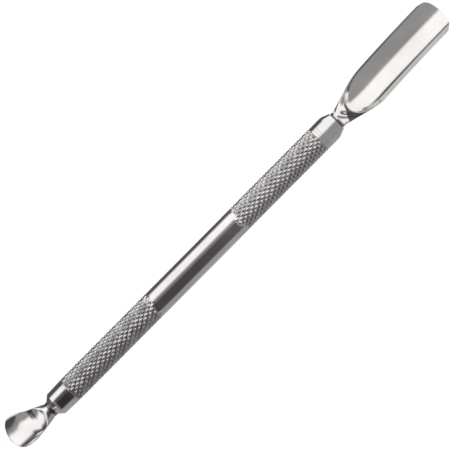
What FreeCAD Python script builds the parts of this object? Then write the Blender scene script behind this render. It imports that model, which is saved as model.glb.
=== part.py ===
import FreeCAD, Part
import math
import os
import Sketcher

# Double ended cuticle pusher, in millimetres.
# +X runs along the handle towards the large pusher blade, +Z is up on the
# hollow side of both blades, and the origin is on the handle's axis at the
# middle of its plain grip band.

os.makedirs("parts", exist_ok=True)
V = FreeCAD.Vector
doc = FreeCAD.newDocument("cuticle_pusher")

# ---------------------------------------------------------------- dimensions
sheet = doc.addObject("Spreadsheet::Sheet", "sizes")
SIZES = [
    # handle tube
    ("tube_left", -38.7), ("tube_right", 37.5), ("grip_left", -12.7), ("grip_right", 12.7),
    ("grip_radius", 3.0), ("knurl_radius", 3.05), ("run_out", 0.65), ("tube_bore", 2.2), ("bore_chamfer", 0.25),
    # pusher end collar
    ("pc_spigot_end", 31.5), ("pc_hole_floor", 35.5), ("pc_hole_radius", 1.5),
    ("pc_line_one", 38.2), ("pc_line_two", 38.8), ("line_half", 0.07), ("line_depth", 0.07),
    ("pc_shoulder", 40.4), ("pc_shoulder_arc", 2.8), ("pc_cone_start", 41.5), ("pc_cone_radius", 2.77508),
    ("pc_lip", 42.7), ("pc_lip_radius", 2.29), ("pc_face", 42.9), ("pc_face_radius", 2.1),
    # spoon end collar
    ("sc_spigot_end", -32.7), ("sc_hole_floor", -36.4), ("sc_hole_radius", 1.35),
    ("sc_line_one", -39.0), ("sc_line_two", -39.3), ("sc_radius", 2.97),
    ("sc_chamfer", -43.0), ("sc_chamfer_radius", 2.83), ("sc_face", -44.2), ("sc_face_radius", 1.86),
    # pusher blade: tang, neck
    ("pb_tang_end", 36.0), ("pb_neck_radius", 1.95), ("pb_neck_end", 43.9),
    # pusher blade: trough. The trough's axis is an arc of spine_radius about a
    # point far below the blade, and starts, tilted, over the end of the bowl.
    ("spine_radius", 190.0), ("spine_x", 77.643), ("spine_z", -180.196), ("bowl_x", 53.1), ("bowl_z", 8.213),
    ("bowl_tilt", 7.422), ("spine_sweep", 7.2), ("trough_inner", 8.1), ("trough_outer", 9.0),
    ("bowl_inner_length", 13.2), ("bowl_outer_length", 14.07), ("rim_drop", 7.06), ("rim_rear_x", 37.0),
    ("rim_top", 24.0), ("rim_front_x", 84.0), ("land_across", 1.52), ("land_down", 1.05),
    ("front_apex", 75.3), ("front_arc", 8.2), ("front_corner_x", 74.05), ("front_corner_y", 4.2),
    ("front_side_x", 73.0), ("side_y", 6.5), ("front_far", 79.0),
    ("bevel_back", 3.2), ("bevel_front", 1.2), ("bevel_low", 0.70), ("bevel_high", 1.66), ("bevel_out", -2.0), ("bevel_axis", 9.79),
    # pusher blade: web sections, station, half width, side height, bottom, top
    ("wa_x", 43.9), ("wa_w", 1.95), ("wa_side", 0.0), ("wa_bot", -1.95), ("wa_top", 1.95),
    ("wb_x", 45.2), ("wb_w", 2.42), ("wb_side", 0.06), ("wb_bot", -1.83), ("wb_top", 1.35),
    ("wc_x", 46.7), ("wc_w", 2.95), ("wc_side", 0.14), ("wc_bot", -1.62), ("wc_top", 0.55),
    ("wd_x", 49.0), ("wd_w", 3.74), ("wd_side", 0.28), ("wd_bot", -1.26), ("wd_top", 0.38),
    ("we_x", 51.8), ("we_w", 4.50), ("we_side", 0.42), ("we_bot", -0.88), ("we_top", 0.50),
    # spoon blade: tang and neck
    ("sb_tang_end", -36.9), ("sb_neck_radius", 1.80), ("sb_neck_end", -44.9), ("sb_waist_radius", 1.74),
    # spoon blade: sections
    ("sa_x", -44.9), ("sa_w", 1.74), ("sa_side", 0.0), ("sa_bot", -1.74), ("sa_top", 1.74),
    ("sb_x", -46.5), ("sb_w", 2.38), ("sb_side", 0.62), ("sb_bot", -1.15), ("sb_top", 1.45),
    ("sd_x", -48.6), ("sd_w", 3.24), ("sd_side", 1.86), ("sd_bot", -0.26), ("sd_top", 2.10),
    ("se_x", -50.8), ("se_w", 3.93), ("se_side", 2.95), ("se_bot", 0.62), ("se_top", 3.15),
    ("sf_x", -53.0), ("sf_w", 4.40), ("sf_side", 3.62), ("sf_bot", 1.72), ("sf_top", 3.80),
    ("sg_x", -55.5), ("sg_w", 4.60), ("sg_side", 4.10), ("sg_bot", 2.82), ("sg_top", 4.25),
    # spoon blade: hollow and outline
    ("sh_x", -47.9), ("sh_z", 6.16), ("sh_turn", 151.5), ("sh_length", 4.8), ("sh_radius", 5.4),
    ("sh_reach", 7.0), ("sh_mouth", 6.5),
    ("so_x", -52.3), ("so_long", 2.9), ("so_wide", 4.13), ("so_rear_x", -44.9), ("so_rear_y", 1.86),
    ("so_mid_x", -50.8), ("so_mid_y", 3.93), ("so_far_x", -57.0), ("so_far_y", 7.0),
]
for row, (alias, value) in enumerate(SIZES, start=1):
    sheet.set("A%d" % row, alias)
    sheet.set("B%d" % row, repr(value))
    sheet.setAlias("B%d" % row, alias)
doc.recompute()
D = {alias: float(getattr(sheet, alias)) for alias, _ in SIZES}


def value(text):
    """Adds up a plain sum of sheet names and numbers, such as "a - b + 0.5"."""
    total, sign = 0.0, 1.0
    for word in text.replace("-", " - ").replace("+", " + ").split():
        if word == "-":
            sign = -1.0
        elif word == "+":
            sign = 1.0
        else:
            total += sign * (D[word] if word in D else float(word))
            sign = 1.0
    return total


def cells(text):
    """The same sum as an expression on the spreadsheet."""
    return " ".join("sizes." + w if w in D else w for w in text.replace("-", " - ").replace("+", " + ").split())


def new_body(label):
    body = doc.addObject("PartDesign::Body", "body_" + label)
    body.Label = label
    return body


def plane(body, role):
    return next(f for f in body.Origin.OriginFeatures if f.Role == role)


class Drawing:
    """A sketch on one of its body's origin planes, with every point bound to the sheet."""

    def __init__(self, body, name, role, base=(None, None, None), turn=None):
        self.sk = body.newObject("Sketcher::SketchObject", name)
        self.sk.AttachmentSupport = [(plane(body, role), "")]
        self.sk.MapMode = "FlatFace"
        rot = FreeCAD.Rotation()
        if turn:
            axis, sign, alias = turn
            rot = FreeCAD.Rotation(axis, sign * D[alias])
        self.sk.AttachmentOffset = FreeCAD.Placement(V(*[value(b) if b else 0.0 for b in base]), rot)
        for name_, b in zip("xyz", base):
            if b:
                self.sk.setExpression(".AttachmentOffset.Base." + name_, cells(b))
        if turn:
            self.sk.setExpression(".AttachmentOffset.Rotation.Angle", ("" if sign > 0 else "-") + "sizes." + alias)

    def size(self, kind, *args, text=None):
        n = self.sk.addConstraint(Sketcher.Constraint(kind, *args))
        if text:
            self.sk.setExpression("Constraints[%d]" % n, cells(text))
        return n

    def pin(self, geo, pos, ex, ey):
        """Holds a point at sheet values; "0" puts it on the sketch axis."""
        for kind, text, axis in (("DistanceX", ex, -2), ("DistanceY", ey, -1)):
            if text == "0":
                self.size("PointOnObject", geo, pos, axis)
            else:
                self.size(kind, -1, 1, geo, pos, value(text), text=text)

    def chain(self, points, close=True):
        """Straight lines through points given as pairs of sheet sums."""
        pts = [V(value(a) if a != "0" else 0.0, value(b) if b != "0" else 0.0, 0) for a, b in points]
        ids = []
        last = len(pts) if close else len(pts) - 1
        for i in range(last):
            ids.append(self.sk.addGeometry(Part.LineSegment(pts[i], pts[(i + 1) % len(pts)]), False))
        for i in range(len(ids) - 1):
            self.size("Coincident", ids[i], 2, ids[i + 1], 1)
        if close:
            self.size("Coincident", ids[-1], 2, ids[0], 1)
        for i, (a, b) in enumerate(points):
            if i < len(ids):
                self.pin(ids[i], 1, a, b)
            else:
                self.pin(ids[-1], 2, a, b)
        return ids

    def lens(self, key):
        """A closed section: a round lower side and a crowned upper side, meeting at the two side points."""
        w, side, bot, top = (D[key + n] for n in ("_w", "_side", "_bot", "_top"))
        out = []
        for edge, sign in ((bot, 1), (top, -1)):
            drop = abs(side - edge)
            rad = (w * w + drop * drop) / (2 * drop)
            cz = edge + sign * rad
            a = math.atan2(side - cz, w)
            b = math.pi - a
            if sign > 0:
                start, stop = b - 2 * math.pi, a
                if stop < start:
                    stop += 2 * math.pi
            else:
                start, stop = a, b
            out.append(self.sk.addGeometry(Part.ArcOfCircle(Part.Circle(V(0, cz, 0), V(0, 0, 1), rad), start, stop), False))
        lo, up = out
        # the lower arc runs from the left point to the right, the upper one from right to left
        self.size("Coincident", lo, 2, up, 1)
        self.size("Coincident", up, 2, lo, 1)
        self.size("DistanceX", -1, 1, lo, 2, w, text=key + "_w")
        if D[key + "_side"] == 0.0:
            # a full circle about the handle's axis
            self.size("PointOnObject", lo, 2, -1)
            self.size("PointOnObject", lo, 1, -1)
            self.size("Coincident", lo, 3, -1, 1)
            self.size("PointOnObject", up, 3, -1)
            return out
        self.size("PointOnObject", lo, 3, -2)
        self.size("PointOnObject", up, 3, -2)
        self.size("DistanceY", -1, 1, lo, 2, side, text=key + "_side")
        for geo, name in ((lo, "_bot"), (up, "_top")):
            s = "sizes." + key
            # radius of an arc from its half chord and its depth
            n = self.size("Radius", geo, self.sk.Geometry[geo].Radius)
            self.sk.setExpression(
                "Constraints[%d]" % n,
                "({0}_w * {0}_w + ({0}_side - {0}{1}) * ({0}_side - {0}{1})) / (2 * abs({0}_side - {0}{1}))".format(s, name),
            )
        return out


def turned(body, name, drawing, angle=360.0, cut=False, axis="H_Axis", reverse=False):
    kind = "PartDesign::Groove" if cut else "PartDesign::Revolution"
    f = body.newObject(kind, name)
    f.Profile = drawing.sk
    f.ReferenceAxis = (drawing.sk, [axis])
    if isinstance(angle, str):
        f.Angle = D[angle]
        f.setExpression("Angle", "sizes." + angle)
    else:
        f.Angle = angle
    f.Reversed = reverse
    before = body.Shape.Volume if not body.Shape.isNull() else 0.0
    doc.recompute()
    after = f.Shape.Volume
    print("  %-22s volume %9.3f (was %9.3f)" % (name, after, before))
    return f


# ------------------------------------------------------------------- handle
tube = new_body("handle_tube")
d = Drawing(tube, "tube_profile", "XZ_Plane")
d.chain([
    ("tube_left + bore_chamfer", "tube_bore"), ("tube_right - bore_chamfer", "tube_bore"), ("tube_right", "tube_bore + bore_chamfer"),
    ("tube_right", "knurl_radius"), ("grip_right + run_out", "knurl_radius"), ("grip_right", "grip_radius"),
    ("grip_left", "grip_radius"), ("grip_left - run_out", "knurl_radius"), ("tube_left", "knurl_radius"),
    ("tube_left", "tube_bore + bore_chamfer"),
])
turned(tube, "tube_turned", d)

# ------------------------------------------------------ collar, pusher side
pc = new_body("pusher_end_collar")
d = Drawing(pc, "pc_profile", "XZ_Plane")
ids = d.chain([
    ("pc_shoulder", "grip_radius"),
    ("pc_line_two + line_half", "grip_radius"), ("pc_line_two", "grip_radius - line_depth"), ("pc_line_two - line_half", "grip_radius"),
    ("pc_line_one + line_half", "grip_radius"), ("pc_line_one", "grip_radius - line_depth"), ("pc_line_one - line_half", "grip_radius"),
    ("tube_right", "grip_radius"), ("tube_right", "tube_bore"),
    ("pc_spigot_end + bore_chamfer", "tube_bore"), ("pc_spigot_end", "tube_bore - bore_chamfer"), ("pc_spigot_end", "0"),
    ("pc_hole_floor", "0"), ("pc_hole_floor", "pc_hole_radius"), ("pc_face", "pc_hole_radius"), ("pc_face", "pc_face_radius"),
    ("pc_lip", "pc_lip_radius"), ("pc_cone_start", "pc_cone_radius"),
], close=False)
R = D["pc_shoulder_arc"]
x0, r0 = D["pc_shoulder"], D["grip_radius"]
x1, r1 = D["pc_cone_start"], D["pc_cone_radius"]
# the shoulder's arc leaves the plain band level, so its centre is straight under it
cz = r0 - R
arc = d.sk.addGeometry(Part.ArcOfCircle(Part.Circle(V(x0, cz, 0), V(0, 0, 1), R), math.atan2(r1 - cz, x1 - x0), math.pi / 2), False)
d.size("Coincident", arc, 2, ids[0], 1)
d.size("Coincident", arc, 1, ids[-1], 2)
d.size("Radius", arc, math.hypot(x1 - x0, r1 - cz), text="pc_shoulder_arc")
turned(pc, "pc_turned", d)

# ------------------------------------------------------- collar, spoon side
sc = new_body("spoon_end_collar")
d = Drawing(sc, "sc_profile", "XZ_Plane")
d.chain([
    ("tube_left", "sc_radius"),
    ("sc_line_one + line_half", "sc_radius"), ("sc_line_one", "sc_radius - line_depth"), ("sc_line_one - line_half", "sc_radius"),
    ("sc_line_two + line_half", "sc_radius"), ("sc_line_two", "sc_radius - line_depth"), ("sc_line_two - line_half", "sc_radius"),
    ("sc_chamfer", "sc_chamfer_radius"), ("sc_face", "sc_face_radius"), ("sc_face", "sc_hole_radius"),
    ("sc_hole_floor", "sc_hole_radius"), ("sc_hole_floor", "0"), ("sc_spigot_end", "0"),
    ("sc_spigot_end", "tube_bore - bore_chamfer"), ("sc_spigot_end - bore_chamfer", "tube_bore"), ("tube_left", "tube_bore"),
])
turned(sc, "sc_turned", d)

# -------------------------------------------------------------- pusher blade
pb = new_body("pusher_blade")
# outside of the trough: a round bar swept along the blade's curved axis
d = Drawing(pb, "trough_outside", "YZ_Plane", (None, "spine_z", "spine_x"), (V(1, 0, 0), -1, "bowl_tilt"))
c = d.sk.addGeometry(Part.Circle(V(0, D["spine_radius"], 0), V(0, 0, 1), D["trough_outer"]), False)
d.size("PointOnObject", c, 3, -2)
d.size("DistanceY", -1, 1, c, 3, D["spine_radius"], text="spine_radius")
d.size("Radius", c, D["trough_outer"], text="trough_outer")
turned(pb, "trough_bar", d, "spine_sweep")


def bowl_end(body, name, length, radius, cut=False, place=("bowl_x", "bowl_z"), tilt=(1, "bowl_tilt"), lead=None):
    """A half egg on the trough's axis, turned about it; lead adds a straight run past the middle."""
    d = Drawing(body, name + "_profile", "XZ_Plane", (place[0], place[1], None), (V(0, 0, 1),) + tilt)
    a, b = D[length], D[radius]
    if a >= b:
        e = Part.Ellipse(V(-a, 0, 0), V(0, b, 0), V(0, 0, 0))
    else:
        e = Part.Ellipse(V(0, b, 0), V(-a, 0, 0), V(0, 0, 0))
    # the quarter from (-a, 0) to (0, b), whichever way the ellipse's parameter runs
    best = None
    for k in range(4):
        t0, t1 = k * math.pi / 2, (k + 1) * math.pi / 2
        mid = e.value((t0 + t1) / 2)
        if mid.x < 0 and mid.y > 0:
            best = (t0, t1)
    g = d.sk.addGeometry(Part.ArcOfEllipse(e, best[0], best[1]), False)
    before = d.sk.GeometryCount
    d.sk.exposeInternalGeometry(g)
    d.size("Coincident", g, 3, -1, 1)
    p1, p2 = d.sk.getPoint(g, 1), d.sk.getPoint(g, 2)
    rear, side = (1, 2) if abs(p1.x + a) < 1e-6 else (2, 1)
    if lead is None:
        l1 = d.sk.addGeometry(Part.LineSegment(V(0, b, 0), V(0, 0, 0)), False)
        l2 = d.sk.addGeometry(Part.LineSegment(V(0, 0, 0), V(-a, 0, 0)), False)
        d.size("Coincident", l1, 2, -1, 1)
    else:
        reach, mouth = D[lead[0]], D[lead[1]]
        l1 = d.sk.addGeometry(Part.LineSegment(V(0, b, 0), V(reach, mouth, 0)), False)
        l1b = d.sk.addGeometry(Part.LineSegment(V(reach, mouth, 0), V(reach, 0, 0)), False)
        l2 = d.sk.addGeometry(Part.LineSegment(V(reach, 0, 0), V(-a, 0, 0)), False)
        d.size("Coincident", l1, 2, l1b, 1)
        d.size("Coincident", l1b, 2, l2, 1)
        d.pin(l1, 2, lead[0], lead[1])
        d.pin(l2, 1, lead[0], "0")
    d.size("Coincident", g, side, l1, 1)
    d.size("Coincident", l2, 2, g, rear)
    d.size("PointOnObject", g, rear, -1)
    d.size("PointOnObject", g, side, -2)
    d.size("DistanceX", g, rear, -1, 1, a, text=length)
    d.size("DistanceY", -1, 1, g, side, b, text=radius)
    return turned(body, name, d, cut=cut)


bowl_end(pb, "bowl_outside", "bowl_outer_length", "trough_outer")

# everything above the rims comes off
d = Drawing(pb, "rim_profile", "XZ_Plane")
tilt = math.radians(D["bowl_tilt"])
C = V(D["spine_x"], D["spine_z"], 0)
rr = D["spine_radius"] - D["rim_drop"]
P0 = C + V(-math.sin(tilt) * rr, math.cos(tilt) * rr, 0)
xf = D["rim_front_x"]
P3 = V(xf, C.y + math.sqrt(rr * rr - (xf - C.x) ** 2), 0)
P1 = V(D["rim_rear_x"], P0.y - math.tan(tilt) * (P0.x - D["rim_rear_x"]), 0)
P1u, P3u = V(P1.x, D["rim_top"], 0), V(P3.x, D["rim_top"], 0)
arc = d.sk.addGeometry(Part.ArcOfCircle(Part.Circle(C, V(0, 0, 1), rr), math.atan2(P3.y - C.y, P3.x - C.x), math.atan2(P0.y - C.y, P0.x - C.x)), False)
l0 = d.sk.addGeometry(Part.LineSegment(P0, P1), False)
l1 = d.sk.addGeometry(Part.LineSegment(P1, P1u), False)
l2 = d.sk.addGeometry(Part.LineSegment(P1u, P3u), False)
l3 = d.sk.addGeometry(Part.LineSegment(P3u, P3), False)
d.size("Tangent", arc, 2, l0, 1)
for a_, pa, b_, pbn in ((l0, 2, l1, 1), (l1, 2, l2, 1), (l2, 2, l3, 1), (l3, 2, arc, 1)):
    d.size("Coincident", a_, pa, b_, pbn)
d.pin(arc, 3, "spine_x", "spine_z")
d.size("Radius", arc, rr, text="spine_radius - rim_drop")
d.size("DistanceX", -1, 1, l0, 2, P1.x, text="rim_rear_x")
d.pin(l1, 2, "rim_rear_x", "rim_top")
d.pin(l3, 1, "rim_front_x", "rim_top")
d.size("Vertical", l3)
n = d.size("DistanceX", -1, 1, l0, 1, P0.x)
d.sk.setExpression("Constraints[%d]" % n, "sizes.spine_x - sin(sizes.bowl_tilt * 1deg) * (sizes.spine_radius - sizes.rim_drop)")


def pocket(body, name, drawing, both=True, reverse=False):
    f = body.newObject("PartDesign::Pocket", name)
    f.Profile = drawing.sk
    f.Type = "ThroughAll"
    f.SideType = "Two sides" if both else "One side"
    if both:
        f.Type2 = "ThroughAll"
    f.Reversed = reverse
    before = body.Shape.Volume
    doc.recompute()
    print("  %-22s volume %9.3f (was %9.3f)" % (name, f.Shape.Volume, before))
    return f


doc.recompute()
pocket(pb, "rim_cut", d)

# the land: the outer top edge of the rim is taken down, all the way round the bowl
top_faces = [i for i, f in enumerate(pb.Shape.Faces) if f.CenterOfMass.z > 0.4 and abs(f.normalAt(*[(a + b) / 2 for a, b in (f.ParameterRange[:2], f.ParameterRange[2:])]).z) > 0.98]
names = []
for i, e in enumerate(pb.Shape.Edges):
    faces = pb.Shape.ancestorsOfType(e, Part.Face)
    hits = [f for f in faces if any(f.isSame(pb.Shape.Faces[k]) for k in top_faces)]
    if len(hits) == 1 and len(faces) == 2 and e.CenterOfMass.x < 76.5 and e.Length > 2.0:
        names.append((hits[0], "Edge%d" % (i + 1), e))

land = pb.newObject("PartDesign::Chamfer", "rim_land")
land.Base = (pb.Tip if pb.Tip is not land else land.BaseFeature, [n for _, n, _ in names])
land.ChamferType = "Two distances"
land.Size = D["land_across"]
land.Size2 = D["land_down"]
land.FlipDirection = True
land.setExpression("Size", "sizes.land_across")
land.setExpression("Size2", "sizes.land_down")
before = land.BaseFeature.Shape.Volume if land.BaseFeature else 0
doc.recompute()
print("  rim_land volume", land.Shape.Volume, "was", before, land.State, land.Shape.isValid())

# tang and neck
d = Drawing(pb, "tang_profile", "XZ_Plane")
d.chain([
    ("pb_tang_end", "0"), ("pb_tang_end", "pc_hole_radius"), ("pc_face", "pc_hole_radius"),
    ("pc_face", "pb_neck_radius"), ("pb_neck_end", "pb_neck_radius"), ("pb_neck_end", "0"),
])
turned(pb, "tang_turned", d)


def lofted(body, name, keys):
    drawings = []
    for k in keys:
        dr = Drawing(body, name + "_" + k, "YZ_Plane", (None, None, k + "_x"))
        dr.lens(k)
        drawings.append(dr)
    doc.recompute()
    f = body.newObject("PartDesign::AdditiveLoft", name)
    f.Profile = drawings[0].sk
    f.Sections = [(q.sk, [""]) for q in drawings[1:]]
    f.Ruled = False
    before = body.Shape.Volume
    doc.recompute()
    print("  %-22s volume %9.3f (was %9.3f) %s" % (name, f.Shape.Volume, before, f.State))
    return f


lofted(pb, "web", ["wa", "wb", "wc", "wd", "we"])

# the hollow of the trough and of the bowl at its end is one cutter, made in a body of its own
cutter = new_body("trough_cutter")
d = Drawing(cutter, "trough_inside", "YZ_Plane", (None, "spine_z", "spine_x"), (V(1, 0, 0), -1, "bowl_tilt"))
c = d.sk.addGeometry(Part.Circle(V(0, D["spine_radius"], 0), V(0, 0, 1), D["trough_inner"]), False)
d.size("PointOnObject", c, 3, -2)
d.size("DistanceY", -1, 1, c, 3, D["spine_radius"], text="spine_radius")
d.size("Radius", c, D["trough_inner"], text="trough_inner")
turned(cutter, "trough_core", d, "spine_sweep")
bowl_end(cutter, "bowl_core", "bowl_inner_length", "trough_inner")
hollow = pb.newObject("PartDesign::Boolean", "trough_hollow")
hollow.Type = "Cut"
hollow.setObjects([cutter])
doc.recompute()
print("  trough_hollow volume", hollow.Shape.Volume, hollow.State)

# front edge: a shallow arc with rounded corners, in plan
d = Drawing(pb, "front_profile", "XY_Plane")
R = D["front_arc"]
ax = D["front_apex"] - R
cx, cy = D["front_corner_x"], D["front_corner_y"]
R = ((D["front_apex"] - cx) ** 2 + cy * cy) / (2 * (D["front_apex"] - cx))
ax = D["front_apex"] - R
a = math.atan2(cy, cx - ax)
arc = d.sk.addGeometry(Part.ArcOfCircle(Part.Circle(V(ax, 0, 0), V(0, 0, 1), R), -a, a), False)
pts = [V(cx, cy, 0), V(D["front_side_x"], D["side_y"], 0), V(D["front_far"], D["side_y"], 0), V(D["front_far"], -D["side_y"], 0), V(D["front_side_x"], -D["side_y"], 0), V(cx, -cy, 0)]
ln = [d.sk.addGeometry(Part.LineSegment(pts[i], pts[i + 1]), False) for i in range(5)]
d.size("Coincident", arc, 2, ln[0], 1)
for i in range(4):
    d.size("Coincident", ln[i], 2, ln[i + 1], 1)
d.size("Coincident", ln[4], 2, arc, 1)
d.size("PointOnObject", arc, 3, -1)
d.pin(ln[0], 1, "front_corner_x", "front_corner_y")
d.pin(ln[1], 1, "front_side_x", "side_y")
d.pin(ln[2], 1, "front_far", "side_y")
d.pin(ln[3], 1, "front_far", "- side_y")
d.pin(ln[4], 1, "front_side_x", "- side_y")
d.size("DistanceX", -1, 1, arc, 1, cx, text="front_corner_x")
n = d.size("Radius", arc, R)
d.sk.setExpression("Constraints[%d]" % n, "((sizes.front_apex - sizes.front_corner_x) ^ 2 + sizes.front_corner_y ^ 2) / (2 * (sizes.front_apex - sizes.front_corner_x))")
doc.recompute()
pocket(pb, "front_cut", d)

# underside of the front edge is ground thin, as a cone about the trough's axis there
d = Drawing(pb, "bevel_profile", "XZ_Plane")
fx = D["front_apex"]
d.chain([
    ("front_apex - bevel_back", "bevel_low"), ("front_apex + bevel_front", "bevel_high"), ("front_apex + bevel_front", "bevel_out"), ("front_apex - bevel_back", "bevel_out"),
])
ax = d.sk.addGeometry(Part.LineSegment(V(fx - D["bevel_back"], D["bevel_axis"], 0), V(fx + D["bevel_front"], D["bevel_axis"], 0)), True)
d.pin(ax, 1, "front_apex - bevel_back", "bevel_axis")
d.pin(ax, 2, "front_apex + bevel_front", "bevel_axis")
turned(pb, "front_bevel", d, cut=True, axis="Axis0")
print("  pusher", pb.Shape.optimalBoundingBox(), pb.Shape.isValid(), len(pb.Shape.Solids))

# --------------------------------------------------------------- spoon blade
sb = new_body("spoon_blade")
d = Drawing(sb, "spoon_tang_profile", "XZ_Plane")
d.chain([
    ("sb_tang_end", "0"), ("sb_tang_end", "sc_hole_radius"), ("sc_face", "sc_hole_radius"),
    ("sc_face", "sb_neck_radius"), ("sb_neck_end", "sb_waist_radius"), ("sb_neck_end", "0"),
])
turned(sb, "spoon_tang", d)
lofted(sb, "spoon_stock", ["sa", "sb", "sd", "se", "sf", "sg"])
bowl_end(sb, "spoon_hollow", "sh_length", "sh_radius", cut=True, place=("sh_x", "sh_z"), tilt=(1, "sh_turn"), lead=("sh_reach", "sh_mouth"))
print("  spoon", sb.Shape.optimalBoundingBox(), sb.Shape.isValid(), len(sb.Shape.Solids))

# spoon's outline in plan: straight flared sides and a half oval tip
d = Drawing(sb, "spoon_outline", "XY_Plane")
a, b = D["so_wide"], D["so_long"]
e = Part.Ellipse(V(D["so_x"], a, 0), V(D["so_x"] - b, 0, 0), V(D["so_x"], 0, 0))
best = None
for k in range(8):
    t0 = k * math.pi / 2
    t1 = t0 + math.pi
    p, q, m = e.value(t0), e.value(t1), e.value((t0 + t1) / 2)
    if abs(abs(p.y) - a) < 1e-6 and m.x < D["so_x"] - b + 1e-6:
        best = (t0, t1)
        break
g = d.sk.addGeometry(Part.ArcOfEllipse(e, best[0], best[1]), False)
d.sk.exposeInternalGeometry(g)
p1 = d.sk.getPoint(g, 1)
up, dn = (1, 2) if p1.y > 0 else (2, 1)
pts = [V(D["so_x"], a, 0), V(D["so_mid_x"], D["so_mid_y"], 0), V(D["so_rear_x"], D["so_rear_y"], 0), V(D["so_rear_x"], D["so_far_y"], 0),
       V(D["so_far_x"], D["so_far_y"], 0), V(D["so_far_x"], -D["so_far_y"], 0), V(D["so_rear_x"], -D["so_far_y"], 0), V(D["so_rear_x"], -D["so_rear_y"], 0), V(D["so_mid_x"], -D["so_mid_y"], 0), V(D["so_x"], -a, 0)]
ln = [d.sk.addGeometry(Part.LineSegment(pts[i], pts[i + 1]), False) for i in range(len(pts) - 1)]
d.size("Coincident", g, up, ln[0], 1)
for i in range(len(ln) - 1):
    d.size("Coincident", ln[i], 2, ln[i + 1], 1)
d.size("Coincident", ln[-1], 2, g, dn)
d.pin(g, 3, "so_x", "0")
d.pin(ln[0], 1, "so_x", "so_wide")
d.size("DistanceX", -1, 1, ln[-1], 2, D["so_x"], text="so_x")
for k in (g + 1, g + 2):
    axis_line = d.sk.Geometry[k]
    if abs(axis_line.StartPoint.x - axis_line.EndPoint.x) < 1e-6:
        d.size("Vertical", k)
    else:
        n = d.size("Distance", k, 2 * D["so_long"])
        d.sk.setExpression("Constraints[%d]" % n, "2 * sizes.so_long")
d.pin(ln[0], 2, "so_mid_x", "so_mid_y")
d.pin(ln[1], 2, "so_rear_x", "so_rear_y")
d.pin(ln[2], 2, "so_rear_x", "so_far_y")
d.pin(ln[3], 2, "so_far_x", "so_far_y")
d.pin(ln[4], 2, "so_far_x", "- so_far_y")
d.pin(ln[5], 2, "so_rear_x", "- so_far_y")
d.pin(ln[6], 2, "so_rear_x", "- so_rear_y")
d.pin(ln[7], 2, "so_mid_x", "- so_mid_y")
doc.recompute()
pocket(sb, "outline_cut", d)
print("  spoon", sb.Shape.optimalBoundingBox(), sb.Shape.isValid(), len(sb.Shape.Solids))

# ------------------------------------------------------------------- export
doc.recompute()
for obj in doc.Objects:
    if any(word in ("Invalid", "Error") for word in obj.State):
        raise RuntimeError("%s (%s) failed to compute" % (obj.Name, obj.Label))
for part in (tube, pc, sc, pb, sb):
    shape = part.Shape
    if shape.isNull() or not shape.isValid() or len(shape.Solids) != 1:
        raise RuntimeError("%s is not one valid solid" % part.Label)
    shape.exportStep("parts/" + part.Label + ".step")
    bb = shape.optimalBoundingBox()
    print("%-18s %9.3f mm3  x %.3f..%.3f  y %.3f..%.3f  z %.3f..%.3f" % (part.Label, shape.Volume, bb.XMin, bb.XMax, bb.YMin, bb.YMax, bb.ZMin, bb.ZMax))
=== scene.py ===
import math

import bmesh
import bpy
import numpy as np
from mathutils import Matrix, Vector


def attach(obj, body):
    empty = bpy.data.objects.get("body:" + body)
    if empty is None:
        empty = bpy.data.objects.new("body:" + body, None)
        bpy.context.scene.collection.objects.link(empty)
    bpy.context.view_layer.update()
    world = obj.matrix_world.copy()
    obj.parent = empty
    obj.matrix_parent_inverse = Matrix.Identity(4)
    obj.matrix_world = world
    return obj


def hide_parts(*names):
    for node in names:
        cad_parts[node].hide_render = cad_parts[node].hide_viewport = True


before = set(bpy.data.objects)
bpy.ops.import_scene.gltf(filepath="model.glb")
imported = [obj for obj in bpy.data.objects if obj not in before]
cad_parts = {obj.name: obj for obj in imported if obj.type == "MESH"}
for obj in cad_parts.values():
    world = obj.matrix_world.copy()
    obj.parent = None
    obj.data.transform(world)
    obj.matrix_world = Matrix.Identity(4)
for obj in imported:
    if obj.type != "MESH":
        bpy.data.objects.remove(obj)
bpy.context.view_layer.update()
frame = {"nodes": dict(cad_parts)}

MM = 0.001


def linked(name, mesh):
    ob = bpy.data.objects.new(name, mesh)
    bpy.context.scene.collection.objects.link(ob)
    return ob


def grid_mesh(name, rows, close_u=False, close_v=False, caps=()):
    """A mesh from rows of points in millimetres, each row the same length.
    close_v joins each row's ends, and caps names rows ("first", "last") closed with a fan to their middle."""
    nu, nv = len(rows), len(rows[0])
    verts = np.array(rows, dtype=float).reshape(-1, 3) * MM
    faces = []
    for i in range(nu - (0 if close_u else 1)):
        for j in range(nv - (0 if close_v else 1)):
            a = i * nv + j
            b = i * nv + (j + 1) % nv
            c = ((i + 1) % nu) * nv + (j + 1) % nv
            d = ((i + 1) % nu) * nv + j
            faces.append((a, b, c, d))
    verts = verts.tolist()
    for cap in caps:
        row = 0 if cap == "first" else nu - 1
        ids = [row * nv + j for j in range(nv)]
        mid = np.mean([verts[k] for k in ids], axis=0).tolist()
        verts.append(mid)
        m = len(verts) - 1
        for j in range(nv):
            a, b = ids[j], ids[(j + 1) % nv]
            faces.append((b, a, m) if cap == "first" else (a, b, m))
    mesh = bpy.data.meshes.new(name)
    mesh.from_pydata(verts, [], faces)
    mesh.validate()
    return mesh


def tidy(mesh, angle=None):
    """Outward faces, smooth shading, and edges sharper than angle kept crisp."""
    bm = bmesh.new()
    bm.from_mesh(mesh)
    bmesh.ops.remove_doubles(bm, verts=bm.verts, dist=1e-8)
    bmesh.ops.recalc_face_normals(bm, faces=bm.faces)
    for f in bm.faces:
        f.smooth = True
    if angle is not None:
        for e in bm.edges:
            if len(e.link_faces) == 2 and e.calc_face_angle(0.0) > math.radians(angle):
                e.smooth = False
    bm.to_mesh(mesh)
    bm.free()
    return mesh


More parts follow.
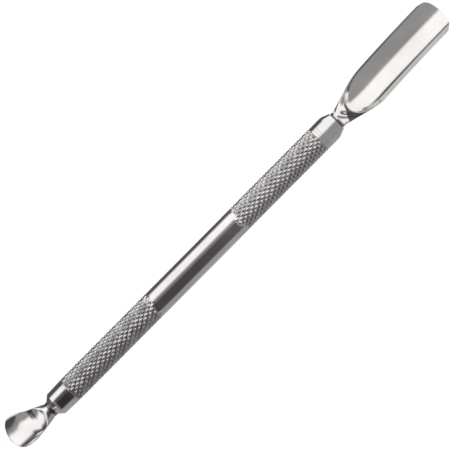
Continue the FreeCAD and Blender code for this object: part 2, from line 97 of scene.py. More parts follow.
def arc_pts(cx, cy, r, a0, a1, n):
    return [(cx + r * math.cos(math.radians(a0 + (a1 - a0) * i / n)), cy + r * math.sin(math.radians(a0 + (a1 - a0) * i / n))) for i in range(n + 1)]


def turned(name, profile, n=256):
    """A closed profile of (x, r) points turned about the handle's axis."""
    rows = []
    for x, r in profile:
        rows.append([(x, r * math.cos(2 * math.pi * k / n), r * math.sin(2 * math.pi * k / n)) for k in range(n)])
    return rows


# ------------------------------------------------------------ handle tube
# The knurl is two crossing sets of 18 helical V grooves. Each groove's
# angle to the axis comes from the pitch of one axial period per start.
STARTS = 18
PERIOD = 1.617
LEAD = STARTS * PERIOD
CREST, ROOT = 3.05, 2.80
TUBE_L, TUBE_R = -38.7, 37.5
GRIP_L, GRIP_R = -12.7, 12.7
BORE = 2.2


def vee(t, flat=0.16):
    """Height of one groove set, 0 on the floor of a groove and 1 on the crest, over one period."""
    t = t - np.floor(t)
    h = np.abs(2 * t - 1)            # 1 at the seams, 0 in the middle
    h = 1 - h                        # 0 at the groove, 1 half way between
    top = 1 - flat
    return np.minimum(h / top, 1.0)


def hash01(a, b):
    """A repeatable pseudo random number from two integers."""
    v = np.sin(a * 127.1 + b * 311.7) * 43758.5453
    return v - np.floor(v)


def knurl_radius(x, th):
    """Outer radius of the handle at station x (mm) and angle th."""
    p = STARTS * th / (2 * math.pi)
    a = x / PERIOD + p
    b = x / PERIOD - p
    # uneven rolling: each helical groove sits a little off its place and its depth wanders
    ia, ib = np.floor(a), np.floor(b)
    wob = 0.02 * np.sin(2.1 * x + 3 * th) + 0.015 * np.sin(0.83 * x - 2 * th)
    ha = vee(a + wob)
    hb = vee(b - wob)
    depth = 0.235 * (1 + 0.14 * np.sin(1.3 * x + 5 * th) + 0.10 * (hash01(ia % STARTS, 1.0) - 0.5) + 0.10 * (hash01(ib % STARTS, 2.0) - 0.5))
    h = np.minimum(ha, hb)
    crest_shift = 0.03 * (hash01(ia, ib) - 0.5)
    knurled = CREST - 0.015 + crest_shift * 0.6 - depth * (1 - h)
    # run-out of the rollers next to the grip band, a little uneven round the bar
    edge_r = GRIP_R + 0.30 * np.sin(th * 2 + 0.7) + 0.14 * np.sin(th * 5)
    edge_l = GRIP_L + 1.0 + 0.45 * np.sin(th * 1 + 2.2) + 0.16 * np.sin(th * 4 + 1.0)
    fade_r = np.clip((x - edge_r) / 1.1, 0, 1)
    fade_l = np.clip((edge_l - x) / 1.5, 0, 1)
    mix = np.maximum(fade_r, fade_l)
    mix = mix * mix * (3 - 2 * mix)
    # sharp ends beside the collars
    end = np.clip(np.minimum((TUBE_R - x) / 0.14, (x - TUBE_L) / 0.14), 0, 1)
    plain = np.where((x < GRIP_R) & (x > GRIP_L), 3.0, 3.0)
    r = plain * (1 - mix) + knurled * mix
    r = r * end + (ROOT + 0.06) * (1 - end)
    return np.minimum(r, CREST)


def build_handle():
    # the grid's steps divide the knurl's period, so that grooves run through its corners
    n_th = STARTS * 16
    th = np.linspace(0, 2 * math.pi, n_th, endpoint=False)
    dx = PERIOD / 16
    k = np.arange(math.ceil(TUBE_L / dx) + 1, math.floor(TUBE_R / dx)) * dx
    left, right = k[k < GRIP_L + 1.9], k[k > GRIP_R - 0.9]
    mid = np.linspace(left[-1], right[0], 24)[1:-1]
    xs = np.concatenate([[TUBE_L, TUBE_L + 0.07], left, mid, right, [TUBE_R - 0.07, TUBE_R]])
    rows = []
    for x in xs:
        r = knurl_radius(np.full_like(th, x), th)
        rows.append(np.stack([np.full_like(th, x), r * np.cos(th), r * np.sin(th)], axis=1))
    # down the end faces and back through the bore, so that the tube is one closed skin
    for x in (TUBE_R, TUBE_L):
        rows.append(np.stack([np.full_like(th, x), BORE * np.cos(th), BORE * np.sin(th)], axis=1))
    rows = np.array(rows)
    mesh = grid_mesh("handle_tube_skin", rows, close_u=True, close_v=True)
    return linked("handle_tube_knurled", tidy(mesh, 50))


handle = build_handle()
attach(handle, "root")
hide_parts("handle_tube")

# ---------------------------------------------------------------- collars


def fine_lines(x, r, depth=0.06, half=0.06):
    return [(x - half, r), (x - half * 0.35, r - depth), (x + half * 0.35, r - depth), (x + half, r)]


def collar(name, profile, node, angle=28):
    rows = turned(name, profile)
    mesh = grid_mesh(name, rows, close_u=True, close_v=True)
    ob = linked(name, tidy(mesh, angle))
    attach(ob, "root")
    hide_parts(node)
    return ob


def smooth_line(points, n):
    """Evenly spaced points along straight runs, so shading stays even."""
    out = []
    for (xa, ra), (xb, rb) in zip(points[:-1], points[1:]):
        for k in range(n):
            out.append((xa + (xb - xa) * k / n, ra + (rb - ra) * k / n))
    out.append(points[-1])
    return out


pc = []
pc += [(31.5, 1.95), (31.75, 2.2), (37.5, 2.2), (37.5, 2.93), (37.56, 2.985)]
pc += fine_lines(38.2, 2.99) + fine_lines(38.8, 2.99)
pc += smooth_line([(38.95, 2.99), (40.35, 2.99)], 4)
pc += [(40.4 + 2.8 * math.sin(a), 2.99 - 2.8 * (1 - math.cos(a))) for a in np.linspace(0.02, math.radians(23), 12)]
pc += smooth_line([(41.6, 2.725), (42.62, 2.30)], 5)
pc += [(42.62 + 0.28 * math.sin(a) , 2.05 + 0.25 * math.cos(a)) for a in np.linspace(math.radians(25), math.radians(90), 6)]
pc += [(42.9, 1.5), (35.5, 1.5), (35.5, 0.004), (31.5, 0.004)]
pusher_collar = collar("pusher_end_collar_turned", pc, "pusher_end_collar")

sc = []
sc += [(-32.7, 1.95), (-32.95, 2.2), (-38.7, 2.2), (-38.7, 2.91), (-38.76, 2.965)]
sc += [(x, r) for x, r in reversed(fine_lines(-39.0, 2.967))] + [(x, r) for x, r in reversed(fine_lines(-39.3, 2.96))]
sc += smooth_line([(-39.45, 2.955), (-42.9, 2.835)], 6)
sc += [(-43.0, 2.80)]
sc += smooth_line([(-43.04, 2.765), (-44.12, 1.90)], 5)
sc += [(-44.2, 1.80), (-44.2, 1.35), (-36.4, 1.35), (-36.4, 0.004), (-32.7, 0.004)]
spoon_collar = collar("spoon_end_collar_turned", sc, "spoon_end_collar", angle=22)

# ----------------------------------------------------------- pusher blade
# The trough's axis is an arc of SPINE radius about a point far below the
# blade. Its hollow ends, towards the handle, in half an egg.
SPINE, SPX, SPZ = 190.0, 77.643, -180.196
TILT = math.asin((SPX - 53.1) / SPINE)
BX, BZ = 53.1, 8.213
RI, RO = 8.1, 9.0
HALF_I, HALF_O = 3.97, 4.70
BLI, BLO = 13.2, 14.07
DROP_I = math.sqrt(RI ** 2 - HALF_I ** 2)
DROP_O = math.sqrt(RO ** 2 - HALF_O ** 2)
NT = 48            # steps across
NB = 44            # steps along the bowl's end
THM = math.asin(HALF_I / RI)
THO = math.asin(HALF_O / RO)


def frame_at(x):
    """Centre, forward and up directions of the trough's axis at station x."""
    if x <= BX:
        c, s_ = math.cos(TILT), math.sin(TILT)
        t = (x - BX) / c
        return np.array([x, 0, BZ + t * s_]), np.array([c, 0, s_]), np.array([-s_, 0, c])
    a = math.asin((SPX - x) / SPINE)
    return np.array([x, 0, SPZ + SPINE * math.cos(a)]), np.array([math.cos(a), 0, math.sin(a)]), np.array([-math.sin(a), 0, math.cos(a)])


def front_x(y):
    """Plan outline of the front edge."""
    h = abs(y)
    x = 75.3 - h * h / 23.0
    if h > 3.0:
        x -= 1.60 * ((h - 3.0) / 1.70) ** 2.2
    return min(x - 0.07 * y * (h / 4.0) ** 2, 75.29)


def along(x0, x1, n, ease=0.0):
    """Stations that crowd towards the far end as ease grows."""
    u = np.linspace(0, 1, n + 1)
    return x0 + (x1 - x0) * (u + ease * (u ** 2 - u) * -1)


def sm(t):
    t = min(max(t, 0.0), 1.0)
    return t * t * (3 - 2 * t)


class Skin:
    """Collects patches of points in millimetres and joins them where they share edges."""

    def __init__(self):
        self.v, self.f = [], []

    def patch(self, rows):
        base = len(self.v)
        nu, nv = len(rows), len(rows[0])
        for r in rows:
            assert len(r) == nv
            self.v.extend([tuple(float(c) for c in p) for p in r])
        for i in range(nu - 1):
            for j in range(nv - 1):
                a = base + i * nv + j
                self.f.append((a, a + 1, a + nv + 1, a + nv))

    def mesh(self, name, angle, merge=2e-4):
        verts = [(x * MM, y * MM, z * MM) for x, y, z in self.v]
        me = bpy.data.meshes.new(name)
        me.from_pydata(verts, [], self.f)
        bm = bmesh.new()
        bm.from_mesh(me)
        bmesh.ops.remove_doubles(bm, verts=bm.verts, dist=merge * MM)
        bmesh.ops.dissolve_degenerate(bm, dist=1e-8, edges=bm.edges)
        loose = [v for v in bm.verts if not v.link_faces]
        bmesh.ops.delete(bm, geom=loose, context="VERTS")
        bmesh.ops.recalc_face_normals(bm, faces=bm.faces)
        open_edges = [e for e in bm.edges if len(e.link_faces) != 2]
        print("skin", name, len(bm.faces), "faces,", len(open_edges), "open edges")
        for f in bm.faces:
            f.smooth = True
        for e in bm.edges:
            if len(e.link_faces) == 2 and e.calc_face_angle(0.0) > math.radians(angle):
                e.smooth = False
        bm.to_mesh(me)
        bm.free()
        return me


def at(frame3, y, z):
    c, f, u = frame3
    return c + u * z + np.array([0, y, 0])


def rim_in(b):
    """Inner rim of the bowl's end at angle b from its rear point."""
    k = math.sqrt(1 - (DROP_I / RI) ** 2)
    c, f, u = frame_at(BX)
    return c + f * (-BLI * k * math.cos(b)) + u * (-DROP_I) + np.array([0, RI * k * math.sin(b), 0])


def rim_out(b):
    k = math.sqrt(1 - (DROP_O / RO) ** 2)
    c, f, u = frame_at(BX)
    # the land is nearly level at the rear of the bowl and slopes down along its sides
    drop = DROP_I + 0.14 + (DROP_O - DROP_I - 0.14) * sm(math.sin(b) ** 2)
    return c + f * (-BLO * k * math.cos(b)) + u * (-drop) + np.array([0, RO * k * math.sin(b), 0])


def build_pusher():
    sk = Skin()
    # hollow of the bowl's end, section by section
    k = math.sqrt(1 - (DROP_I / RI) ** 2)
    rows = []
    c, f, u = frame_at(BX)
    for b in np.linspace(0, math.pi / 2, NB + 1):
        ca = k * math.cos(b)
        sa = math.sqrt(max(1 - ca * ca, 0))
        tm = math.acos(min(1.0, DROP_I / (RI * sa)))
        rows.append([c + f * (-BLI * ca) + u * (-RI * sa * math.cos(t)) + np.array([0, RI * sa * math.sin(t), 0]) for t in np.linspace(-tm, tm, NT + 1)])
    inner_seam = rows[-1]
    sk.patch(rows)
    # hollow of the trough, up to the front edge
    steps = np.concatenate([np.linspace(0, 0.82, 40), np.linspace(0.82, 1, 26)[1:]])

    def top_height(y):
        """Hollow and land, below the trough's axis."""
        h = abs(y)
        if h <= HALF_I:
            return -math.sqrt(RI ** 2 - h * h)
        f = (h - HALF_I) / (HALF_O - HALF_I)
        return -DROP_I + (DROP_I - DROP_O) * f

    def trough(radius, half, under):
        out = []
        for q in steps:
            row = []
            for t in np.linspace(-half, half, NT + 1):
                y = radius * math.sin(t)
                x = BX + (front_x(y) - 0.105 - BX) * q
                z = -radius * math.cos(t)
                if under:
                    # the underside is ground thin towards the edge
                    back = front_x(y) - 0.105 - x
                    top = top_height(y)
                    z -= -max(top - z - 0.16, 0.0) * sm(1 - back / 3.4) ** 0.8
                row.append(at(frame_at(x), y, z))
            out.append(row)
        return out

    inner = trough(RI, THM, False)
    inner[0] = inner_seam
    sk.patch(inner)
    outer = trough(RO, THO, True)
    # the outer seam lies on the egg's own middle section
    outer_seam = [at(frame_at(BX), RO * math.sin(t), -RO * math.cos(t)) for t in np.linspace(-THO, THO, NT + 1)]
    outer[0] = outer_seam
    sk.patch(outer)
    # front face between the two
    lands = 3
    sk.patch([[a + (b - a) * (m / lands) for a, b in zip(inner[-1], outer[-1])] for m in range(lands + 1)])
    # the land, along both sides and round the bowl's end
    bs = np.linspace(-math.pi / 2, math.pi / 2, 2 * NB + 1)
    rin = [rim_in(b) for b in bs]
    rout = [rim_out(b) for b in bs]
    rin[0], rin[-1] = inner_seam[0], inner_seam[-1]
    rout[0], rout[-1] = outer_seam[0], outer_seam[-1]

    def blend_row(p, q):
        return [p + (q - p) * (m / lands) for m in range(lands + 1)]

    sk.patch([blend_row(a, b) for a, b in zip(rin, rout)])
    for side in (0, -1):
        sk.patch([blend_row(a[side], b[side]) for a, b in zip(inner, outer)])
    # side edge of the web, from the neck to the middle of the bowl
    n_web = 34
    x_neck = 43.9

    def side_edge(q):
        """q 0 at the neck, 1 at the bowl's middle."""
        x = x_neck + (outer_seam[-1][0] - x_neck) * q
        xe = outer_seam[-1][0]
        w_line = 1.95 + 0.331 * (x - 43.5)
        w_end = outer_seam[-1][1]
        # a straight flare that rounds over into the trough's side
        d = w_end - w_line
        wr = 0.42
        w = w_end - (d + math.sqrt(d * d + wr * wr)) / 2 + (math.sqrt((w_end - (1.95 + 0.331 * (xe - 43.5))) ** 2 + wr * wr) + (w_end - (1.95 + 0.331 * (xe - 43.5)))) / 2 * q ** 3
        if q < 0.06:
            w = 1.95 + (w - 1.95) * sm(q / 0.06) if w > 1.95 else w
        z = outer_seam[-1][2] * (0.80 * q + 0.20 * q * q)
        return x, w, z

    qs = np.linspace(0, 1, n_web + 1)
    edge = [side_edge(q) for q in qs]
    edge[0] = (x_neck, 1.95, 0.0)
    edge[-1] = tuple(outer_seam[-1][[0, 1, 2]])
    # underside of the web: round sections that open out from the neck's circle
    under = []
    bot_end = outer_seam[NT // 2]
    for i, (q, (x, w, z)) in enumerate(zip(qs, edge)):
        if i == n_web:
            row = list(outer_seam)
        else:
            xb = x_neck + (bot_end[0] - x_neck) * q
            zb = -1.95 + (bot_end[2] + 1.95) * (1.35 * q ** 1.7 - 0.35 * q ** 3)
            h = z - zb
            R = (w * w + h * h) / (2 * h)
            cz = zb + R
            am = math.atan2(w, cz - z)
            row = []
            for t in np.linspace(-am, am, NT + 1):
                y = R * math.sin(t)
                # stations lean the same way as the bowl's middle section
                xx = xb + (x - xb) * (1 - math.cos(t)) / (1 - math.cos(am))
                row.append(np.array([xx, y, cz - R * math.cos(t)]))
            row[0] = np.array([x, -w, z])
            row[-1] = np.array([x, w, z])
        under.append(row)
    sk.patch(under)
    # top of the web: from the neck's upper half circle to the land's outer edge
    n_top = 2 * NB
    top = []
    for j in range(n_top + 1):
        b = bs[j]
        a = b                                     # same angle round the neck, from the top
        start = np.array([x_neck, 1.95 * math.sin(a), 1.95 * math.cos(a)])
        end = rout[j]
        if j in (0, n_top):
            sgn = -1 if j == 0 else 1
            col = [np.array([x, sgn * w, z]) for x, w, z in edge]
        else:
            side = abs(b) / (math.pi / 2)
            reach = end[0] - start[0]
            # level at the neck, dipping, then up a little into the land's edge at the middle
            d0 = np.array([reach * 0.9, 0.331 * reach * math.sin(a) * 0.9, -0.1 * (1 - side)])
            d1 = np.array([reach * 0.9, (end[1] - start[1]) * 1.0, 0.9 * (1 - side) ** 1.5])
            col = []
            for q in qs:
                h00, h10 = 2 * q ** 3 - 3 * q ** 2 + 1, q ** 3 - 2 * q ** 2 + q
                h01, h11 = -2 * q ** 3 + 3 * q ** 2, q ** 3 - q ** 2
                col.append(start * h00 + d0 * h10 + end * h01 + d1 * h11)
            # near the sides the curves follow the side edge
            sgn = 1 if b > 0 else -1
            wgt = side ** 5
            col = [p * (1 - wgt) + wgt * (np.array([x, sgn * w, z]) + (start - np.array([x_neck, sgn * 1.95, 0])) * (1 - q) + (end - np.array([edge[-1][0], sgn * edge[-1][1], edge[-1][2]])) * q) for p, q, (x, w, z) in zip(col, qs, edge)]
        top.append(col)
    sk.patch([[top[j][i] for j in range(n_top + 1)] for i in range(n_web + 1)])
    # neck, shoulder against the collar, and tang
    def ring_half(x, r, upper):
        if upper:
            return [np.array([x, r * math.sin(b), r * math.cos(b)]) for b in bs]
        return [np.array([x, r * math.sin(t), -r * math.cos(t)]) for t in np.linspace(-math.pi / 2, math.pi / 2, NT + 1)]
    prof = [(x_neck, 1.95), (43.5, 1.95), (43.15, 1.95), (42.97, 1.95), (42.9, 1.88), (42.9, 1.5), (36.2, 1.5), (36.0, 1.3), (36.0, 0.0)]
    for upper in (True, False):
        sk.patch([ring_half(x, r, upper) for x, r in prof])
    return linked("pusher_blade_formed", sk.mesh("pusher_blade_formed", 24))


pusher = build_pusher()
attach(pusher, "root")
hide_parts("pusher_blade")


# ------------------------------------------------------------ spoon blade


class Curve1D:
    """A smooth curve through a few points, with no overshoot between them."""

    def __init__(self, pts):
        self.x = np.array([a for a, _ in pts], float)
        self.y = np.array([b for _, b in pts], float)
        h = np.diff(self.x)
        d = np.diff(self.y) / h
        m = np.zeros_like(self.x)
        m[0], m[-1] = d[0], d[-1]
        for i in range(1, len(m) - 1):
            if d[i - 1] * d[i] > 0:
                w1, w2 = 2 * h[i] + h[i - 1], h[i] + 2 * h[i - 1]
                m[i] = (w1 + w2) / (w1 / d[i - 1] + w2 / d[i])
        self.m = m

    def __call__(self, x):
        x = min(max(x, self.x[0]), self.x[-1])
        i = min(int(np.searchsorted(self.x, x, "right")) - 1, len(self.x) - 2)
        h = self.x[i + 1] - self.x[i]
        t = (x - self.x[i]) / h
        return float((2 * t ** 3 - 3 * t ** 2 + 1) * self.y[i] + (t ** 3 - 2 * t ** 2 + t) * h * self.m[i] + (3 * t ** 2 - 2 * t ** 3) * self.y[i + 1] + (t ** 3 - t ** 2) * h * self.m[i + 1])


S0, SE, TIPX, TIPA, TIPB = 44.9, 52.3, 52.3, 2.9, 4.13
sp_width = Curve1D([(44.9, 1.74), (45.5, 2.02), (46.5, 2.40), (47.3, 2.70), (49.0, 3.31), (50.6, 3.87), (51.6, 4.08), (52.3, 4.13)])
sp_rim = Curve1D([(44.9, 0.0), (45.6, 0.28), (46.5, 0.70), (47.3, 1.16), (48.2, 1.62), (49.0, 2.06), (49.9, 2.53), (50.8, 2.96), (51.6, 3.28), (52.5, 3.56), (53.8, 3.80), (55.2, 4.1)])
sp_top = Curve1D([(44.9, 1.74), (45.7, 1.30), (46.5, 0.92), (47.5, 0.62), (49.0, 0.45), (56.0, 0.4)])
sp_low = Curve1D([(44.9, -1.74), (45.7, -1.48), (46.5, -1.14), (48.2, -0.40), (49.9, 0.27), (51.6, 1.01), (52.5, 1.46), (53.8, 2.15), (54.6, 2.53), (55.05, 2.72), (55.3, 2.82)])
sp_edge = Curve1D([(44.9, 0.0), (46.0, 0.16), (47.5, 0.28), (50.0, 0.33), (53.0, 0.34), (55.3, 0.31)])
HC, HS = math.cos(math.radians(28.5)), math.sin(math.radians(28.5))


def hollow_z(x, y):
    """Floor of the spoon's hollow under the point x, y."""
    hi = 9.0

    def at_t(t):
        rho = 5.4 * math.sqrt(max(1 - abs(t / 4.5) ** 3, 0)) if t < 0 else 5.4 + 0.25 * t * t / (t + 2.2)
        if rho <= abs(y):
            return None
        d = math.sqrt(rho * rho - y * y)
        return -47.9 - HC * t - HS * d, 6.16 + HS * t - HC * d
    # the floor starts where the round section is as wide as y
    lo = -4.5 * max(1 - ((abs(y) + 1e-4) / 5.4) ** 2, 0) ** (1 / 3)
    if at_t(lo) is None or x > at_t(lo)[0]:
        return 9.0
    for _ in range(46):
        mid = (lo + hi) / 2
        q = at_t(mid)
        if q is None or q[0] > x:
            lo = mid
        else:
            hi = mid
    q = at_t(hi)
    return q[1]


def soft_min(a, b, w):
    return (a + b - math.sqrt((a - b) ** 2 + w * w)) / 2 + 0.0


def spoon_point(q, v, inset):
    """Plan position on the blade: q from the neck to the tip, v across."""
    s_side = S0 + (SE - S0) * q
    w = sp_width(s_side)
    d = inset * min(q / 0.12, 1.0)
    front = TIPX + (TIPA - d) * math.cos(v)
    s_ = S0 + (front - S0) * q
    return s_, (w - d) * math.sin(v)


def spoon_heights(s_, y, q, v):
    w = sp_width(min(s_, SE)) if s_ < SE else TIPB
    rim = sp_rim(s_)
    u = min(abs(y) / w, 1.0)
    lens_top = rim + sp_top(s_) * math.sqrt(max(1 - u * u, 0))
    top = soft_min(lens_top, hollow_z(-s_, y), 0.10)
    wl = np.interp(s_, [44.9, 46.5, 52.5, 55.5], [1.74, 2.42, 4.28, 4.75])
    ul = min(abs(y) / wl, 1.0)
    shoulder = min(rim, hollow_z(-s_, min(w, 4.13)) if s_ > 46.4 else rim) - sp_edge(s_)
    if s_ <= S0 + 1e-9:
        shoulder = 0.0
    k = 1.0 if s_ < S0 + 0.01 else max(1.0 - 0.10 * (s_ - S0), 0.86)
    g = (1 - math.sqrt(max(1 - k * u * u, 0))) / (1 - math.sqrt(max(1 - k, 0)))
    low = sp_low(s_) + (shoulder - sp_low(s_)) * g
    thick_c = soft_min(rim + sp_top(s_), hollow_z(-s_, 0.0), 0.10) - sp_low(s_)
    low_b = hollow_z(-s_, y) - (sp_edge(s_) + (thick_c - sp_edge(s_)) * (1 - u * u))
    m = sm((s_ - 50.2) / 2.6)
    low = low * (1 - m) + low_b * m
    if low > top - 0.02:
        low = top - 0.02 if s_ > S0 + 0.3 else min(low, top)
    return top, low


def build_spoon():
    sk = Skin()
    nq, nv = 96, 56
    qs = np.concatenate([np.linspace(0, 0.9, nq - 16), np.linspace(0.9, 1.0, 17)[1:]])
    vs = np.linspace(-math.pi / 2, math.pi / 2, nv + 1)
    inset = 0.09
    top, low = [], []
    for q in qs:
        rt, rl = [], []
        for v in vs:
            s_, y = spoon_point(q, v, inset)
            a, b = spoon_heights(s_, y, q, v)
            rt.append(np.array([-s_, y, a]))
            rl.append(np.array([-s_, y, b]))
        if q == 0:
            rt = [np.array([-S0, 1.74 * math.sin(v), 1.74 * math.cos(v)]) for v in vs]
            rl = [np.array([-S0, 1.74 * math.sin(v), -1.74 * math.cos(v)]) for v in vs]
        top.append(rt)
        low.append(rl)
    sk.patch(top)
    sk.patch(low)
    hi = max((p[2], -p[0], p[1]) for r in top for p in r)
    print("spoon highest", hi)
    # the rim, rounded over both of its edges
    path = [(i, 0) for i in range(len(qs))] + [(len(qs) - 1, j) for j in range(1, nv + 1)] + [(i, nv) for i in range(len(qs) - 2, -1, -1)]
    rim = []
    for i, j in path:
        q, v = qs[i], vs[j]
        a, b = top[i][j], low[i][j]
        h = a[2] - b[2]
        col = [a]
        for ins, f in ((0.030, 0.10), (0.006, 0.24), (0.0, 0.5), (0.006, 0.76), (0.030, 0.90)):
            s_, y = spoon_point(q, v, ins)
            col.append(np.array([-s_, y, a[2] - h * f]))
        col.append(b)
        if i == 0:
            col = [a] * len(col)
        rim.append(col)
    sk.patch(rim)
    prof = [(S0, 1.74), (44.6, 1.765), (44.35, 1.785), (44.27, 1.79), (44.2, 1.72), (44.2, 1.35), (37.1, 1.35), (36.9, 1.15), (36.9, 0.0)]
    for sgn in (1, -1):
        sk.patch([[np.array([-x, r * math.sin(v), sgn * r * math.cos(v)]) for v in vs] for x, r in prof])
    return linked("spoon_blade_formed", sk.mesh("spoon_blade_formed", 30))


spoon = build_spoon()
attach(spoon, "root")
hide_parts("spoon_blade")


# --------------------------------------------------------------- materials
class Nodes:
    """Short forms for building a node tree."""

    def __init__(self, tree):
        self.t = tree

    def new(self, kind, **kw):
        n = self.t.nodes.new(kind)
        for k, v in kw.items():
            setattr(n, k, v)
        return n

    def put(self, sock, value):
        if isinstance(value, bpy.types.NodeSocket):
            self.t.links.new(value, sock)
        else:
            sock.default_value = value

    def math(self, op, a, b=0.0, c=0.0, clamp=False):
        n = self.new("ShaderNodeMath", operation=op, use_clamp=clamp)
        for i, v in enumerate((a, b, c)):
            self.put(n.inputs[i], v)
        return n.outputs[0]

    def ramp(self, v, x0, x1, y0=0.0, y1=1.0, smooth=True):
        n = self.new("ShaderNodeMapRange", interpolation_type="SMOOTHSTEP" if smooth else "LINEAR", clamp=True)
        for k, q in zip(("Value", "From Min", "From Max", "To Min", "To Max"), (v, x0, x1, y0, y1)):
            self.put(n.inputs[k], q)
        return n.outputs["Result"]

    def mix_rgb(self, fac, a, b, blend="MIX"):
        n = self.new("ShaderNodeMix", data_type="RGBA", blend_type=blend)
        self.put(n.inputs[0], fac)
        self.put(n.inputs[6], a)
        self.put(n.inputs[7], b)
        return n.outputs[2]

    def noise(self, vec, scale, detail=3.0, rough=0.5, distort=0.0):
        n = self.new("ShaderNodeTexNoise")
        self.put(n.inputs["Vector"], vec)
        n.inputs["Scale"].default_value = scale
        n.inputs["Detail"].default_value = detail
        n.inputs["Roughness"].default_value = rough
        n.inputs["Distortion"].default_value = distort
        return n.outputs["Fac"]

    def stretch(self, vec, scale):
        n = self.new("ShaderNodeMapping")
        self.put(n.inputs["Vector"], vec)
        n.inputs["Scale"].default_value = scale
        return n.outputs["Vector"]


